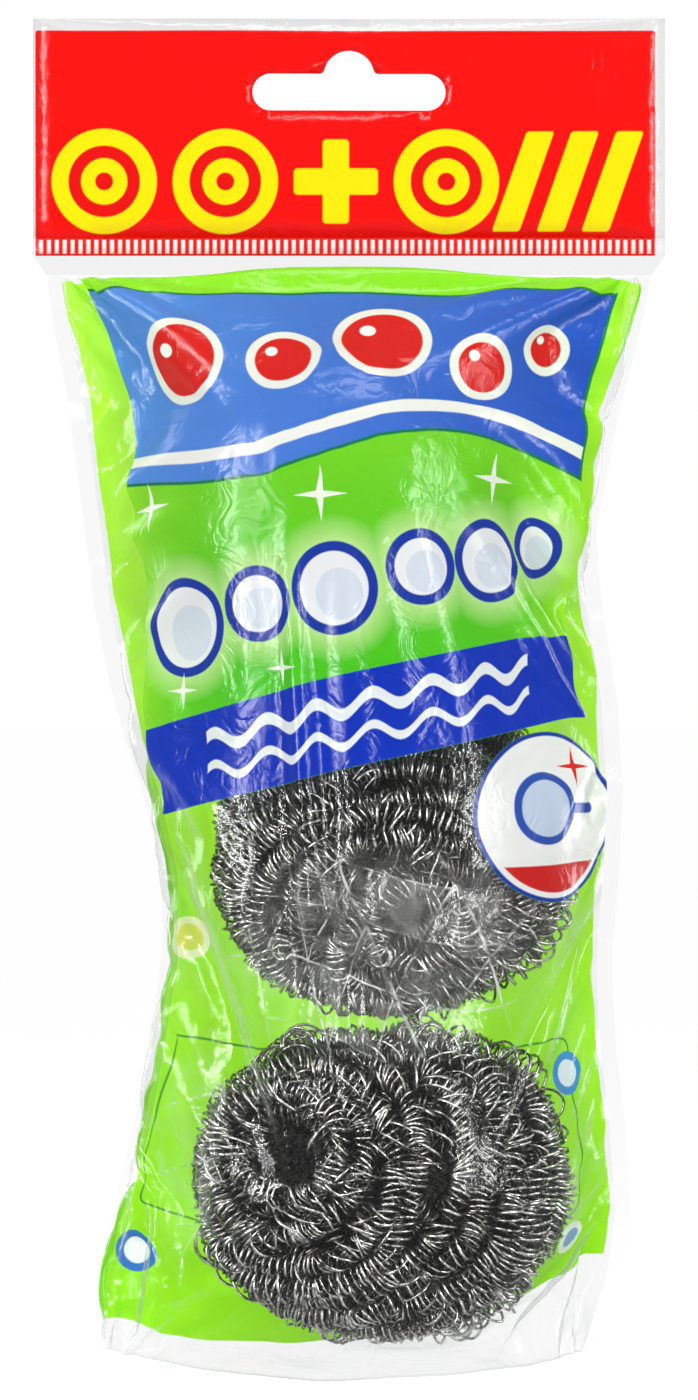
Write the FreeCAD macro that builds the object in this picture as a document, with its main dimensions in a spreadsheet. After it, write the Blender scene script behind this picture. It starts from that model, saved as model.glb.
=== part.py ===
import FreeCAD
import Part
import Sketcher
import math
import os

# A hanging pack of three steel pot scrubbers: a slotted film header, a ribbed seal,
# a welded film bag hinged below it and three balls of coiled strand stacked inside.
# Millimetres, +Z up, front towards -Y, origin in the middle of the hang slot.

# Driving sizes: name, number, what it is
SIZES = [
    ("film_wall", "0.4", "wall of one film ply, drawn thicker than the real film"),
    ("ply_gap", "0.2", "space between the plies where the film is pinched flat"),
    ("header_height", "45", "top edge of the header to the lower edge of the seal"),
    ("slot_from_top", "13.9", "top edge of the header to the middle of the hang slot"),
    ("slot_length", "36.7", "overall length of the hang slot"),
    ("slot_height", "7", "height of the straight part of the hang slot"),
    ("bump_radius", "4.8", "radius of the peg seat over the slot"),
    ("bump_rise", "4.4", "height of the peg seat above the slot"),
    ("slot_fillet", "1", "rounding where the peg seat meets the slot"),
    ("seal_height", "3.4", "height of the ribbed seal"),
    ("rib_pitch", "1.5", "spacing of the seal ribs"),
    ("rib_width", "0.75", "width of one seal rib"),
    ("rib_rise", "0.2", "how far a rib stands proud of the plies"),
    ("rib_margin", "0.2", "plain edge above and below the ribs"),
    ("hinge_clearance", "0.2", "room over the folded edge of the neck"),
    ("neck_height", "3", "clear strip between the fold line and the print"),
    ("weld_width", "3", "width of the side welds"),
    ("weld_gap", "0.1", "room between a film edge and its weld"),
    ("head_room", "10.2", "room left above the raised top scrubber"),
    ("foot_room", "5.8", "room between the bottom scrubber and the fold"),
    ("fold_height", "2", "height of the folded bottom edge"),
    ("neck_gather", "5", "width taken up by gathers at the neck"),
    ("shoulder_gather", "3", "width taken up by gathers above the top scrubber"),
    ("top_gather", "5.9", "width taken up by gathers at the top scrubber"),
    ("upper_gather", "7.2", "width taken up by gathers above the middle scrubber"),
    ("middle_gather", "15.3", "width taken up by gathers at the middle scrubber"),
    ("lower_gather", "15", "width taken up by gathers below the middle scrubber"),
    ("bottom_gather", "5.7", "width taken up by gathers at the bottom scrubber"),
    ("foot_gather", "11.9", "width taken up by gathers near the bottom"),
    ("fold_gather", "30", "width taken up by gathers at the bottom fold"),
    ("flat_bulge", "0.2", "bulge of the film where it is pinched"),
    ("film_clearance", "0.85", "room between a scrubber and the film in front of it"),
    ("side_ease", "13.515", "room between a scrubber and the bag edge at its side"),
    ("scrubber_width", "70", "scrubber across the pack"),
    ("scrubber_height", "61", "scrubber along the pack"),
    ("scrubber_depth", "48", "scrubber front to back"),
    ("scrubber_lift", "3", "free travel of each scrubber over the one below"),
    ("stack_gap", "0.5", "room between two stacked scrubbers"),
    ("top_shift", "-2", "top scrubber to the right of the slot"),
    ("middle_shift", "8", "middle scrubber to the right of the slot"),
    ("bottom_shift", "5", "bottom scrubber to the right of the slot"),
    ("fold_shift", "-1", "bottom fold to the right of the slot"),
    ("top_yaw", "0", "rosette of the top scrubber, degrees to the right"),
    ("top_pitch", "0", "rosette of the top scrubber, degrees up"),
    ("middle_yaw", "6", "rosette of the middle scrubber, degrees to the right"),
    ("middle_pitch", "-30", "rosette of the middle scrubber, degrees up"),
    ("bottom_yaw", "-38", "rosette of the bottom scrubber, degrees to the right"),
    ("bottom_pitch", "12", "rosette of the bottom scrubber, degrees up"),
    ("strand_width", "4", "outer diameter of the coiled strand"),
    ("strand_gap", "0.9", "room between two loops of the winding"),
    ("end_ease", "1.4", "extra room beside the two end loops of the winding"),
    ("end_radius", "8", "radius of the last loop at the back"),
    ("seat_gap", "0.5", "room between the winding and the core"),
    ("wire_width", "0.45", "diameter of the steel wire in the rosette"),
    ("rosette_radius", "6.5", "middle radius of the ring of curls"),
    ("rosette_curls", "24", "curls in one rosette"),
    ("rosette_sweep", "325", "degrees of the ring that the curls go round"),
    ("rosette_hole", "3.4", "radius of the hollow in the middle of the rosette"),
]

# Sizes that follow from the driving ones
WORKED = [
    ("pinch", "=Sizes.ply_gap / 2 + Sizes.film_wall"),
    ("seal_bottom", "=Sizes.slot_from_top - Sizes.header_height"),
    ("seal_top", "=seal_bottom + Sizes.seal_height"),
    ("hinge_z", "=seal_bottom - Sizes.hinge_clearance - pinch"),
    ("full_bulge", "=Sizes.scrubber_depth / 2 + Sizes.film_clearance"),
    ("full_chord", "=Sizes.scrubber_width + 2 * Sizes.side_ease"),
    ("arch", "=8 / 3"),
    ("film_width", "=full_chord + arch * full_bulge ^ 2 / full_chord"),
    ("header_width", "=film_width + 2 * Sizes.weld_width"),
    ("rib_count", "=floor((header_width - Sizes.rib_width) / Sizes.rib_pitch)"),
    ("stack_pitch", "=Sizes.scrubber_height + Sizes.stack_gap"),
    ("half_slot", "=Sizes.slot_length / 2 - Sizes.slot_height / 2"),
    ("slot_edge", "=Sizes.slot_height / 2"),
    ("bump_z", "=slot_edge + Sizes.bump_rise - Sizes.bump_radius"),
    ("fillet_z", "=slot_edge + Sizes.slot_fillet"),
    ("fillet_reach", "=Sizes.bump_radius + Sizes.slot_fillet"),
    ("fillet_x", "=sqrt(fillet_reach ^ 2 - (fillet_z - bump_z) ^ 2)"),
    ("touch_x", "=fillet_x * Sizes.bump_radius / fillet_reach"),
    ("touch_z", "=bump_z + (fillet_z - bump_z) * Sizes.bump_radius / fillet_reach"),
    ("neck_z", "=hinge_z - Sizes.neck_height"),
    ("raised_z", "=neck_z - Sizes.head_room - Sizes.scrubber_height / 2"),
    ("top_z", "=raised_z - 3 * Sizes.scrubber_lift"),
    ("middle_z", "=top_z - stack_pitch"),
    ("bottom_z", "=middle_z - stack_pitch"),
    ("upper_waist_z", "=(top_z + middle_z) / 2"),
    ("lower_waist_z", "=(middle_z + bottom_z) / 2"),
    ("fold_z", "=bottom_z - Sizes.scrubber_height / 2 - Sizes.foot_room"),
    ("along", "0.6"),
    ("shoulder_z", "=raised_z + along * (neck_z - raised_z)"),
    ("foot_z", "=bottom_z + along * (fold_z - bottom_z)"),
    ("neck_bulge", "=Sizes.flat_bulge"),
    ("shoulder_bulge", "=0.72 * full_bulge"),
    ("top_bulge", "=full_bulge"),
    ("upper_waist_bulge", "=full_bulge"),
    ("middle_bulge", "=full_bulge"),
    ("lower_waist_bulge", "=full_bulge"),
    ("bottom_bulge", "=full_bulge"),
    ("foot_bulge", "=0.75 * full_bulge"),
    ("fold_bulge", "=Sizes.flat_bulge"),
    ("neck_gather", "=Sizes.neck_gather"),
    ("shoulder_gather", "=Sizes.shoulder_gather"),
    ("top_gather", "=Sizes.top_gather"),
    ("upper_waist_gather", "=Sizes.upper_gather"),
    ("middle_gather", "=Sizes.middle_gather"),
    ("lower_waist_gather", "=Sizes.lower_gather"),
    ("bottom_gather", "=Sizes.bottom_gather"),
    ("foot_gather", "=Sizes.foot_gather"),
    ("fold_gather", "=Sizes.fold_gather"),
    ("neck_shift", "0"),
    ("shoulder_shift", "=along * Sizes.top_shift"),
    ("top_shift", "=Sizes.top_shift"),
    ("upper_waist_shift", "=(Sizes.top_shift + Sizes.middle_shift) / 2"),
    ("middle_shift", "=Sizes.middle_shift"),
    ("lower_waist_shift", "=(Sizes.middle_shift + Sizes.bottom_shift) / 2"),
    ("bottom_shift", "=Sizes.bottom_shift"),
    ("foot_shift", "=Sizes.bottom_shift + along * (Sizes.fold_shift - Sizes.bottom_shift)"),
    ("fold_shift", "=Sizes.fold_shift"),
    ("core_half_width", "=Sizes.scrubber_width / 2 - Sizes.strand_width - Sizes.seat_gap"),
    ("core_half_height", "=Sizes.scrubber_height / 2 - Sizes.strand_width - Sizes.seat_gap"),
    ("core_half_depth", "=Sizes.scrubber_depth / 2 - Sizes.strand_width - Sizes.seat_gap"),
]

# Heights at which the bag is cut across, from the neck down to the fold. At each, a film turns at a
# pleat on either side: its way in from the weld, as a share of half the width, and its rise, as a
# share of the bulge, on the left and on the right.
STATIONS = {
    "neck": ((0.23, 0.5), (0.2, 0.5)),
    "shoulder": ((0.23, 0.5), (0.2, 0.32)),
    "top": ((0.16, 0.26), (0.2, 0.38)),
    "upper_waist": ((0.26, 0.54), (0.17, 0.22)),
    "middle": ((0.31, 0.82), (0.22, 0.48)),
    "lower_waist": ((0.35, 0.72), (0.18, 0.25)),
    "bottom": ((0.23, 0.48), (0.22, 0.37)),
    "foot": ((0.33, 0.4), (0.36, 0.47)),
    "fold": ((0.33, 0.5), (0.36, 0.5)),
}

# A film keeps its own length, so a deeper bulge draws its edges closer together. Gathers take up
# what is left over. Across the bag each film is flat from a weld to the pleat, and between the
# pleats it is two arcs that meet at the crown.
for station, pleats in STATIONS.items():
    half, bulge = f"{station}_half", f"{station}_bulge"
    width = f"(film_width + sqrt(film_width ^ 2 - 4 * arch * {bulge} ^ 2)) / 2"
    WORKED.append((half, f"=({width} - {station}_gather) / 2"))
    for hand, (reach, rise) in zip(("left", "right"), pleats):
        knee, lift, slack = (f"{station}_{hand}_{size}" for size in ("knee", "lift", "slack"))
        WORKED.append((knee, f"={half} * (1 - {reach})"))
        WORKED.append((lift, f"={bulge} * {rise}"))
        WORKED.append((slack, f"=({knee} ^ 2 + ({bulge} - {lift}) ^ 2) / (2 * ({bulge} - {lift})) - {bulge}"))

doc = FreeCAD.newDocument("scrubber_pack")
pieces = []


def fill_sheet(name, rows):
    sheet = doc.addObject("Spreadsheet::Sheet", name)
    for row, cells in enumerate(rows, start=1):
        sheet.set(f"A{row}", cells[-1] if len(cells) > 2 else cells[0])
        sheet.set(f"B{row}", cells[1])
        sheet.setAlias(f"B{row}", cells[0])
    doc.recompute()
    return sheet


sizes = fill_sheet("Sizes", SIZES)
worked = fill_sheet("Worked", WORKED)


def number(expression):
    return float(sizes.evalExpression(expression))


# Sketches
def origin_item(body, role):
    for item in body.Origin.OriginFeatures:
        if item.Role == role:
            return item
    raise ValueError(role)


def new_body(label):
    body = doc.addObject("PartDesign::Body", label)
    body.Label = label
    pieces.append(body)
    return body


def new_sketch(body, name, plane, lift=None):
    sketch = body.newObject("Sketcher::SketchObject", f"{body.Label}_{name}")
    sketch.AttachmentSupport = [(origin_item(body, plane), "")]
    sketch.MapMode = "FlatFace"
    if lift:
        sketch.setExpression(".AttachmentOffset.Base.z", lift)
    return sketch


def fix(sketch, kind, item, point, expression):
    rule = Sketcher.Constraint(kind, -1, 1, item, point, number(expression))
    index = sketch.addConstraint(rule)
    sketch.setExpression(f"Constraints[{index}]", expression)


def arc_between(first, last, centre, turn):
    if turn < 0:
        first, last = last, first
    start = math.atan2(first.y - centre.y, first.x - centre.x)
    stop = math.atan2(last.y - centre.y, last.x - centre.x)
    if stop <= start:
        stop += 2 * math.pi
    circle = Part.Circle(centre, FreeCAD.Vector(0, 0, 1), (first - centre).Length)
    return Part.ArcOfCircle(circle, start, stop)


def add_loop(sketch, corners, arcs=None):
    # A closed outline of lines, with arcs at the numbered edges as (centre x, centre y, turn)
    arcs = arcs or {}
    points = [FreeCAD.Vector(number(x), number(y), 0) for x, y in corners]
    edges = []
    for index, first in enumerate(points):
        last = points[(index + 1) % len(points)]
        if index in arcs:
            centre_x, centre_y, turn = arcs[index]
            centre = FreeCAD.Vector(number(centre_x), number(centre_y), 0)
            item = sketch.addGeometry(arc_between(first, last, centre, turn), False)
            edges.append((item, 1, 2) if turn > 0 else (item, 2, 1))
        else:
            item = sketch.addGeometry(Part.LineSegment(first, last), False)
            edges.append((item, 1, 2))
    for index, edge in enumerate(edges):
        before = edges[index - 1]
        sketch.addConstraint(Sketcher.Constraint("Coincident", before[0], before[2], edge[0], edge[1]))
        fix(sketch, "DistanceX", edge[0], edge[1], corners[index][0])
        fix(sketch, "DistanceY", edge[0], edge[1], corners[index][1])
    for index, (centre_x, centre_y, turn) in arcs.items():
        span = points[(index + 1) % len(points)] - points[index]
        if abs(span.y) > abs(span.x):
            fix(sketch, "DistanceX", edges[index][0], 3, centre_x)
        else:
            fix(sketch, "DistanceY", edges[index][0], 3, centre_y)


def pad(body, sketch, name, length, side="One side", backwards=False):
    feature = body.newObject("PartDesign::Pad", f"{body.Label}_{name}")
    feature.Profile = sketch
    feature.setExpression("Length", length)
    feature.SideType = side
    feature.Reversed = backwards
    body.Tip = feature
    return feature


def loft(body, sketches, name):
    feature = body.newObject("PartDesign::AdditiveLoft", f"{body.Label}_{name}")
    feature.Profile = (sketches[0], [""])
    feature.Sections = [(sketch, [""]) for sketch in sketches[1:]]
    feature.Ruled = False
    body.Tip = feature
    return feature


# Header: two printed plies, cut by the hang slot
def header_ply(label, backwards):
    body = new_body(label)
    sketch = new_sketch(body, "outline", "XZ_Plane")
    half = "Worked.header_width / 2"
    add_loop(sketch, [
        (f"-{half}", "Worked.seal_top"),
        (half, "Worked.seal_top"),
        (half, "Sizes.slot_from_top"),
        (f"-{half}", "Sizes.slot_from_top"),
    ])
    corners = [
        ("-Worked.half_slot", "-Worked.slot_edge"),
        ("Worked.half_slot", "-Worked.slot_edge"),
        ("Worked.half_slot", "Worked.slot_edge"),
        ("Worked.fillet_x", "Worked.slot_edge"),
        ("Worked.touch_x", "Worked.touch_z"),
        ("-Worked.touch_x", "Worked.touch_z"),
        ("-Worked.fillet_x", "Worked.slot_edge"),
        ("-Worked.half_slot", "Worked.slot_edge"),
    ]
    add_loop(sketch, corners, {
        1: ("Worked.half_slot", "0", 1),
        3: ("Worked.fillet_x", "Worked.fillet_z", -1),
        4: ("0", "Worked.bump_z", 1),
        5: ("-Worked.fillet_x", "Worked.fillet_z", -1),
        7: ("-Worked.half_slot", "0", 1),
    })
    pad(body, sketch, "ply", "Sizes.film_wall", backwards=backwards)


# Seal: the strip where both plies are melted together under a ribbed bar
def header_seal():
    body = new_body("header_seal")
    half = "Worked.header_width / 2"
    strip = new_sketch(body, "strip", "XZ_Plane")
    add_loop(strip, [
        (f"-{half}", "Worked.seal_bottom"),
        (half, "Worked.seal_bottom"),
        (half, "Worked.seal_top"),
        (f"-{half}", "Worked.seal_top"),
    ])
    pad(body, strip, "strip_pad", "2 * Sizes.film_wall", "Symmetric")
    rib = new_sketch(body, "rib", "XZ_Plane")
    middle = "-(Worked.rib_count - 1) / 2 * Sizes.rib_pitch"
    low = "Worked.seal_bottom + Sizes.rib_margin"
    high = "Worked.seal_top - Sizes.rib_margin"
    add_loop(rib, [
        (f"{middle} - Sizes.rib_width / 2", low),
        (f"{middle} + Sizes.rib_width / 2", low),
        (f"{middle} + Sizes.rib_width / 2", high),
        (f"{middle} - Sizes.rib_width / 2", high),
    ])
    first = pad(body, rib, "rib_pad", "2 * (Sizes.film_wall + Sizes.rib_rise)", "Symmetric")
    row = body.newObject("PartDesign::LinearPattern", "header_seal_ribs")
    row.Originals = [first]
    row.Direction = (rib, ["H_Axis"])
    row.setExpression("Length", "(Worked.rib_count - 1) * Sizes.rib_pitch")
    row.setExpression("Occurrences", "Worked.rib_count")
    body.Tip = row


# Neck: the clear strip that folds, round along its upper edge on the fold line
def neck_strip():
    body = new_body("neck_strip")
    sketch = new_sketch(body, "profile", "YZ_Plane")
    add_loop(sketch, [
        ("-Worked.pinch", "Worked.neck_z"),
        ("Worked.pinch", "Worked.neck_z"),
        ("Worked.pinch", "Worked.hinge_z"),
        ("-Worked.pinch", "Worked.hinge_z"),
    ], {2: ("0", "Worked.hinge_z", 1)})
    pad(body, sketch, "strip", "Worked.header_width", "Symmetric")


# Bag films: two pleats and two arcs at each station, the front one bulging to -Y
def bag_film(label, side):
    body = new_body(label)
    sketches = []
    out, into = ("-", "+") if side < 0 else ("+", "-")
    for station in STATIONS:
        sketch = new_sketch(body, station, "XY_Plane", f"Worked.{station}_z")
        middle, half, bulge = (f"Worked.{station}_{size}" for size in ("shift", "half", "bulge"))
        left, right = f"Worked.{station}_left", f"Worked.{station}_right"
        corners, arcs = [], {}
        for seat in (f"{out}Worked.pinch", f"{out}Sizes.ply_gap / 2"):
            row = [
                (f"{middle} - {half}", seat),
                (f"{middle} - {left}_knee", f"{seat} {out} {left}_lift"),
                (middle, f"{seat} {out} {bulge}"),
                (f"{middle} + {right}_knee", f"{seat} {out} {right}_lift"),
                (f"{middle} + {half}", seat),
            ]
            left_arc, right_arc = ((middle, f"{seat} {into} {hand}_slack") for hand in (left, right))
            if corners:
                arcs.update({6: (*right_arc, side), 7: (*left_arc, side)})
            else:
                arcs.update({1: (*left_arc, -side), 2: (*right_arc, -side)})
            corners += row[::-1] if corners else row
        add_loop(sketch, corners, arcs)
        sketches.append(sketch)
    loft(body, sketches, "film")
    return body


# Side welds: the flat strips that join the two films, drawn along the edge of one film
def side_weld(label, side, film):
    doc.recompute()
    body = new_body(label)
    sign = "-" if side < 0 else "+"
    edge = f"Worked.neck_shift {sign} (Worked.neck_half"
    near = f"{edge} + Sizes.weld_gap)"
    far = f"{edge} + Sizes.weld_width)"
    sketch = new_sketch(body, "strip", "XY_Plane", "Worked.neck_z")
    add_loop(sketch, [
        (near, "-Worked.pinch"),
        (far, "-Worked.pinch"),
        (far, "Worked.pinch"),
        (near, "Worked.pinch"),
    ])
    reach = number("Worked.neck_z - Worked.fold_z") / 2
    long_edges = [
        (side * item.CenterOfMass.x, index)
        for index, item in enumerate(film.Shape.Edges, start=1) if item.BoundBox.ZLength > reach
    ]
    path = body.newObject("PartDesign::SubShapeBinder", f"{label}_path")
    path.Support = [(film.Tip, (f"Edge{max(long_edges)[1]}",))]
    weld = body.newObject("PartDesign::AdditivePipe", f"{label}_weld")
    weld.Profile = sketch
    weld.Spine = (path, ["Edge1"])
    weld.Mode = "Fixed"
    body.Tip = weld


# Bottom fold: the doubled edge that closes the bag
def bottom_fold():
    body = new_body("bottom_fold")
    sketch = new_sketch(body, "profile", "YZ_Plane")
    low = "Worked.fold_z - Sizes.fold_height + Worked.pinch"
    add_loop(sketch, [
        ("Worked.pinch", "Worked.fold_z"),
        ("-Worked.pinch", "Worked.fold_z"),
        ("-Worked.pinch", low),
        ("Worked.pinch", low),
    ], {2: ("0", low, 1)})
    pad(body, sketch, "edge", "2 * (Worked.fold_half + Sizes.weld_width)", "Symmetric")
    body.setExpression(".Placement.Base.x", "Worked.fold_shift")


# Strand: arcs laid through points and their directions
def biarc(first, along, last, onward):
    span = last - first
    both = along + onward
    bend = 2 * (1 - along.dot(onward))
    reach = span.dot(both)
    if bend < 1e-9:
        length = span.dot(span) / (4 * span.dot(onward))
    else:
        length = (math.sqrt(reach ** 2 + bend * span.dot(span)) - reach) / bend
    joint = (first + last + (along - onward) * length) * 0.5
    return [arc_edge(first, first + along * length, joint), arc_edge(joint, last - onward * length, last)]


def arc_edge(first, corner, last):
    middle = (first + last) * 0.5
    rise = corner - middle
    half = (last - first).Length / 2
    if rise.Length < 1e-7 * half:
        return Part.LineSegment(first, last).toShape()
    angle = math.atan2(rise.Length, half)
    top = middle + rise * (half * math.tan(angle / 2) / rise.Length)
    return Part.Arc(first, top, last).toShape()


def strand_tube(label, place, samples, width):
    # One unbroken round tube with straight ends, through (point, direction) samples
    start, ahead = samples[0]
    stop, onward = samples[-1]
    edges = [Part.LineSegment(start - ahead * width, start).toShape()]
    for (first, along), (last, forward) in zip(samples, samples[1:]):
        edges.extend(biarc(first, along, last, forward))
    edges.append(Part.LineSegment(stop, stop + onward * width).toShape())
    path = Part.Wire(edges)
    ring = Part.Wire([Part.Circle(start - ahead * width, ahead, width / 2).toShape()])
    feature = doc.addObject("Part::Feature", label)
    feature.Label = label
    feature.Shape = path.makePipeShell([ring], True, False)
    feature.Placement = FreeCAD.Placement(place, FreeCAD.Rotation())
    pieces.append(feature)
    print(label, "least gap to itself", round(least_gap(edges, width), 2), "mm")


def least_gap(edges, width):
    points = []
    travel = []
    run = 0.0
    for edge in edges:
        count = max(2, int(edge.Length / (width / 4)))
        for point in edge.discretize(count)[:-1]:
            points.append(point)
            travel.append(run)
            run += edge.Length / (count - 1)
    best = 1e9
    for index, point in enumerate(points):
        for other in range(index + 1, len(points)):
            if travel[other] - travel[index] > 2 * width:
                best = min(best, point.distanceToPoint(points[other]))
    return best - width


# Scrubber: a core, a strand wound over it and a rosette of open curls at the winding's pole
class Ball:
    def __init__(self, name):
        self.name = name
        self.centre = FreeCAD.Vector(number(f"Worked.{name}_shift"), 0, number(f"Worked.{name}_z"))
        self.strand = number("Sizes.strand_width")
        self.half = FreeCAD.Vector(
            number("Sizes.scrubber_width - Sizes.strand_width") / 2,
            number("Sizes.scrubber_depth - Sizes.strand_width") / 2,
            number("Sizes.scrubber_height - Sizes.strand_width") / 2,
        )
        yaw = math.radians(number(f"Sizes.{name}_yaw"))
        pitch = math.radians(number(f"Sizes.{name}_pitch"))
        self.pole = FreeCAD.Vector(
            math.sin(yaw) * math.cos(pitch), -math.cos(yaw) * math.cos(pitch), math.sin(pitch))
        self.side = FreeCAD.Vector(math.cos(yaw), math.sin(yaw), 0)
        self.rise = self.pole.cross(self.side)
        turns = [self.on_ball(math.pi / 2, step * math.pi / 24).Length for step in range(48)]
        self.narrow = min(turns)
        self.ring = math.asin(number("Sizes.rosette_radius") / self.narrow)

    def on_ball(self, polar, turn):
        spot = self.pole * math.cos(polar)
        spot += (self.side * math.cos(turn) + self.rise * math.sin(turn)) * math.sin(polar)
        return FreeCAD.Vector(spot.x * self.half.x, spot.y * self.half.y, spot.z * self.half.z)

    def step_rate(self, polar):
        # Shortest way along the ball for one radian of polar angle
        small = 1e-3
        rates = []
        for step in range(24):
            turn = step * math.pi / 12
            rates.append((self.on_ball(polar + small, turn) - self.on_ball(polar, turn)).Length / small)
        return min(rates)

    def winding(self):
        pitch = self.strand + number("Sizes.strand_gap")
        eased = pitch + number("Sizes.end_ease")
        polar = self.ring + pitch / self.step_rate(self.ring)
        last = math.pi - math.asin(number("Sizes.end_radius") / self.narrow)
        lead_in = polar + eased / self.step_rate(polar)
        lead_out = last - eased / self.step_rate(last)
        slices = 8
        turn = 0.0
        track = [(polar, turn)]
        while polar < last:
            for _ in range(slices):
                near_end = polar < lead_in or polar > lead_out
                advance = (eased if near_end else pitch) / self.step_rate(polar)
                polar += advance / (4 * slices)
                turn += math.pi / (2 * slices)
            track.append((polar, turn))
        samples = []
        for polar, turn in track:
            near_end = polar < lead_in or polar > lead_out
            drift = (eased if near_end else pitch) / self.step_rate(polar) / (2 * math.pi)
            small = 1e-4
            ahead = self.on_ball(polar + drift * small, turn + small)
            behind = self.on_ball(polar - drift * small, turn - small)
            samples.append((self.on_ball(polar, turn), (ahead - behind).normalize()))
        print(self.name, "winding loops", round(len(track) / 4, 1))
        return samples

    def curl(self, share):
        # A point on the rosette's coil, by its share of the way round
        radius = (self.strand - number("Sizes.wire_width")) / 2
        turn = math.radians(number("Sizes.rosette_sweep")) * share
        small = 1e-4
        centre = self.on_ball(self.ring, turn)
        along = (self.on_ball(self.ring, turn + small) - centre).normalize()
        up = self.on_ball(math.pi / 2, 0).cross(self.on_ball(math.pi / 2, math.pi / 2)).normalize()
        out = along.cross(up)
        spin = 2 * math.pi * number("Sizes.rosette_curls") * share
        return centre + (out * math.cos(spin) + up * math.sin(spin)) * radius

    def rosette(self):
        halves = 2 * int(number("Sizes.rosette_curls"))
        small = 1e-5
        samples = []
        for step in range(halves + 1):
            share = step / halves
            heading = (self.curl(share + small) - self.curl(share - small)).normalize()
            samples.append((self.curl(share), heading))
        return samples


def scrubber_core(name):
    body = doc.addObject("Part::Ellipsoid", f"{name}_scrubber_bundle")
    body.setExpression("Radius1", "Worked.core_half_height")
    body.setExpression("Radius2", "Worked.core_half_width")
    body.setExpression("Radius3", "Worked.core_half_depth")
    hollow = doc.addObject("Part::Sphere", f"{name}_scrubber_hollow")
    hollow.setExpression("Radius", "Sizes.rosette_hole")
    yaw = f"(Sizes.{name}_yaw * 1 deg)"
    pitch = f"(Sizes.{name}_pitch * 1 deg)"
    for item, reach in ((body, 0), (hollow, 1)):
        item.setExpression(
            ".Placement.Base.x",
            f"Worked.{name}_shift + {reach} * Worked.core_half_width * sin({yaw}) * cos({pitch})")
        item.setExpression(
            ".Placement.Base.y", f"-{reach} * Worked.core_half_depth * cos({yaw}) * cos({pitch})")
        item.setExpression(
            ".Placement.Base.z", f"Worked.{name}_z + {reach} * Worked.core_half_height * sin({pitch})")
    core = doc.addObject("Part::Cut", f"{name}_scrubber_core")
    core.Base = body
    core.Tool = hollow
    core.Label = f"{name}_scrubber_core"
    pieces.append(core)


def scrubber(name):
    scrubber_core(name)
    ball = Ball(name)
    strand_tube(f"{name}_scrubber_winding", ball.centre, ball.winding(), ball.strand)
    strand_tube(f"{name}_scrubber_rosette", ball.centre, ball.rosette(), number("Sizes.wire_width"))


header_ply("header_front_ply", False)
header_ply("header_back_ply", True)
header_seal()
neck_strip()
front_film = bag_film("bag_front_film", -1)
bag_film("bag_back_film", 1)
side_weld("left_side_weld", -1, front_film)
side_weld("right_side_weld", 1, front_film)
bottom_fold()
for name in ("bottom", "middle", "top"):
    scrubber(name)

doc.recompute()
for item in doc.Objects:
    if "Invalid" in item.State or "Error" in item.State:
        raise RuntimeError(f"{item.Label} is {item.State}")
os.makedirs("parts", exist_ok=True)
for piece in pieces:
    shape = piece.Shape
    if not shape.isValid() or len(shape.Solids) != 1:
        raise RuntimeError(f"{piece.Label} isn't one valid solid")
    shape.exportStep(f"parts/{piece.Label}.step")
    box = shape.BoundBox
    print(piece.Label, round(shape.Volume, 1), [round(v, 2) for v in (
        box.XMin, box.XMax, box.YMin, box.YMax, box.ZMin, box.ZMax)])
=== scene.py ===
import math

import bmesh
import bpy
import numpy as np
from mathutils import Matrix, Vector, noise


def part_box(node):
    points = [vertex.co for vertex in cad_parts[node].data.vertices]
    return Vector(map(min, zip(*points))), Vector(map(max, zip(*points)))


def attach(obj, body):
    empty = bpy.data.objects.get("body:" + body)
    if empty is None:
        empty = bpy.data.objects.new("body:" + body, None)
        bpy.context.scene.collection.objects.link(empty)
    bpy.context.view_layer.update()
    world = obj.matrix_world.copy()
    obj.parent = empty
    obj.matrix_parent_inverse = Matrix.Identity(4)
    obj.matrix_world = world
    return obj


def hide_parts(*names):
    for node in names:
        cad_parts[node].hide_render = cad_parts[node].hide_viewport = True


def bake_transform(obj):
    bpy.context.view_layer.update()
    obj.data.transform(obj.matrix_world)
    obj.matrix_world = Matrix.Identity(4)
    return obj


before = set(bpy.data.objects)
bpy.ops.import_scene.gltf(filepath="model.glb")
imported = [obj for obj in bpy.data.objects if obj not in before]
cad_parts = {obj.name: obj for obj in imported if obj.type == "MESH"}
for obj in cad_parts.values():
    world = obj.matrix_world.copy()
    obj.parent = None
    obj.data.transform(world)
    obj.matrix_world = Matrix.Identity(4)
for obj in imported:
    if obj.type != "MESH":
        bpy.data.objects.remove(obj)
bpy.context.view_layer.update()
scene = bpy.context.scene


# Studio: a white room with a matt floor under the hanging pack. Strips and boxes light it, and
# two gleam boards stand where only gloss shows them, as white streaks on the film.
def linear(code):
    parts = [int(code[i:i + 2], 16) / 255 for i in (1, 3, 5)]
    return [p / 12.92 if p <= 0.04045 else ((p + 0.055) / 1.055) ** 2.4 for p in parts] + [1.0]


def add(tree, kind, links=None, **settings):
    node = tree.nodes.new("ShaderNode" + kind)
    for name, value in settings.items():
        setattr(node, name, value)
    for socket, value in (links or {}).items():
        source = value.outputs[0] if isinstance(value, bpy.types.Node) else value
        if isinstance(source, bpy.types.NodeSocket):
            tree.links.new(source, node.inputs[socket])
        else:
            node.inputs[socket].default_value = source
    return node


def new_material(name):
    material = bpy.data.materials.new(name)
    material.use_nodes = True
    material.node_tree.nodes.clear()
    return material, material.node_tree


def mesh_from(bm, name):
    mesh = bpy.data.meshes.new(name)
    bm.to_mesh(mesh)
    bm.free()
    return mesh


def new_piece(name, mesh, material):
    mesh.materials.clear()
    mesh.materials.append(material)
    mesh.shade_smooth()
    piece = bpy.data.objects.new(name, mesh)
    scene.collection.objects.link(piece)
    return piece


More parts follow.
